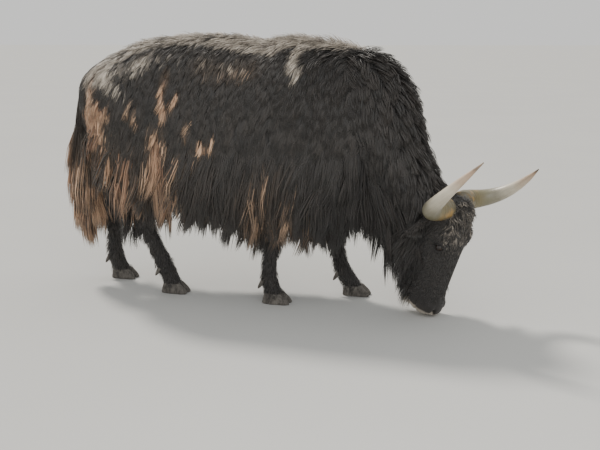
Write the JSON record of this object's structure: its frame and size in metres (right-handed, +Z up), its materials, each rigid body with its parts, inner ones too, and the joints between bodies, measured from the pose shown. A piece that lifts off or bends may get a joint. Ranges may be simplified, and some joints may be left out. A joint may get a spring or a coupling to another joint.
{
  "type": "life-size yak figure",
  "caption": "Grazing long-haired yak as a still, life-size museum figure, standing on its hooves with its head down at the ground and its horns swept up.",
  "frame": {"origin": "centre of the bounding box's underside, on the floor that the hooves stand on", "axes": "+X to the front, where the head is, along the longest extent; +Y to the animal's left, the shortest extent; +Z up"},
  "size_m": [2.6848, 0.9082, 1.4489],
  "materials": {
    "coat": "long, coarse, black-brown hair with chestnut tips, silvery along the back",
    "horn": "smooth ivory horn, olive at the root and darker at the tip",
    "hoof": "dull, dusty grey hoof horn",
    "eye": "glossy, dark brown"
  },
  "bodies": {
    "root": {"dewclaw_front_left_left": "hoof", "dewclaw_front_left_right": "hoof", "dewclaw_front_right_left": "hoof", "dewclaw_front_right_right": "hoof", "dewclaw_hind_left_left": "hoof", "dewclaw_hind_left_right": "hoof", "dewclaw_hind_right_left": "hoof", "dewclaw_hind_right_right": "hoof", "ear_left": "coat", "ear_right": "coat", "eye_left": "eye", "eye_right": "eye", "head": "coat", "hoof_front_left_left": "hoof", "hoof_front_left_right": "hoof", "hoof_front_right_left": "hoof", "hoof_front_right_right": "hoof", "hoof_hind_left_left": "hoof", "hoof_hind_left_right": "hoof", "hoof_hind_right_left": "hoof", "hoof_hind_right_right": "hoof", "horn_left": "horn", "horn_right": "horn", "leg_front_left": "coat", "leg_front_right": "coat", "leg_hind_left": "coat", "leg_hind_right": "coat", "neck": "coat", "tail": "coat", "torso": "coat"}
  },
  "joints": []
}
